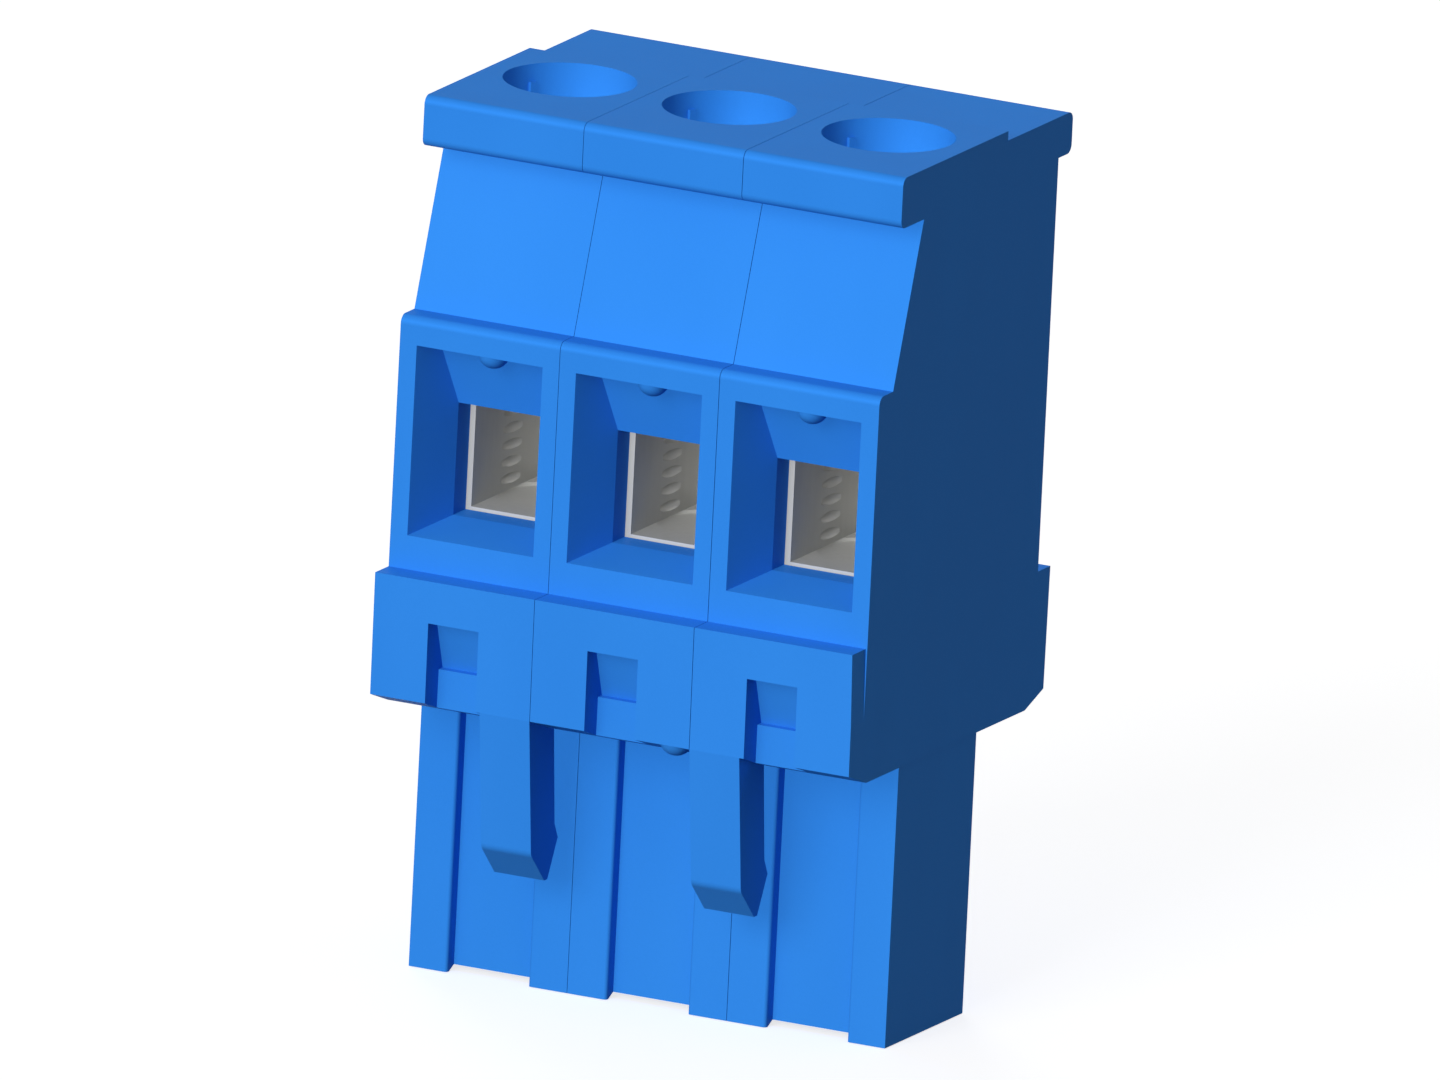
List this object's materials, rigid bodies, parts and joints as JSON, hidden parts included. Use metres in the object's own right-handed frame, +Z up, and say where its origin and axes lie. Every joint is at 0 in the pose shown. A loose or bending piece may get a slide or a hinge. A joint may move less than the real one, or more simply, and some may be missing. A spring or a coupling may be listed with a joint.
{
  "type": "pluggable terminal block",
  "caption": "Pluggable screw terminal block: wire funnels in front, screws from the top, and a tongue with spring contacts and latch fingers that plugs into a board header.",
  "frame": {"origin": "on the mating face at the bottom of the tongue, on the axis that the middle pole's pin socket, contact and screw share", "axes": "+Z up from the mating face towards the screws, +X to the right along the row of poles, the wires enter from the front at -Y"},
  "size_m": [0.0152, 0.0124, 0.0259],
  "materials": {
    "moulded_housing": "moulded blue polyamide, fine satin",
    "plated_cage": "zinc plated steel",
    "plated_screw": "zinc plated steel",
    "tinned_contact": "tin plated copper alloy"
  },
  "bodies": {
    "housing": {"pole_housing_left": "moulded_housing", "pole_housing_middle": "moulded_housing", "pole_housing_right": "moulded_housing", "contact_left": "tinned_contact", "contact_middle": "tinned_contact", "contact_right": "tinned_contact"},
    "screw_left": {"clamp_screw_left": "plated_screw"},
    "screw_middle": {"clamp_screw_middle": "plated_screw"},
    "screw_right": {"clamp_screw_right": "plated_screw"},
    "cage_left": {"clamp_cage_left": "plated_cage"},
    "cage_middle": {"clamp_cage_middle": "plated_cage"},
    "cage_right": {"clamp_cage_right": "plated_cage"}
  },
  "joints": [
    {"name": "screw_turn_left", "type": "hinge", "parent": "housing", "child": "screw_left", "pos_m": [-0.00508, 0, 0.02], "axis": [0, 0, -1], "range_deg": [0, 2160]},
    {"name": "screw_turn_middle", "type": "hinge", "parent": "housing", "child": "screw_middle", "pos_m": [0, 0, 0.02], "axis": [0, 0, -1], "range_deg": [0, 2160]},
    {"name": "screw_turn_right", "type": "hinge", "parent": "housing", "child": "screw_right", "pos_m": [0.00508, 0, 0.02], "axis": [0, 0, -1], "range_deg": [0, 2160]},
    {"name": "cage_lift_left", "type": "slide", "parent": "housing", "child": "cage_left", "axis": [0, 0, 1], "range_m": [0, 0.003]},
    {"name": "cage_lift_middle", "type": "slide", "parent": "housing", "child": "cage_middle", "axis": [0, 0, 1], "range_m": [0, 0.003]},
    {"name": "cage_lift_right", "type": "slide", "parent": "housing", "child": "cage_right", "axis": [0, 0, 1], "range_m": [0, 0.003]}
  ],
  "couplings": [
    {"joint": "screw_turn_left", "follows": "cage_lift_left", "rad_per_m": 12566},
    {"joint": "screw_turn_middle", "follows": "cage_lift_middle", "rad_per_m": 12566},
    {"joint": "screw_turn_right", "follows": "cage_lift_right", "rad_per_m": 12566}
  ]
}
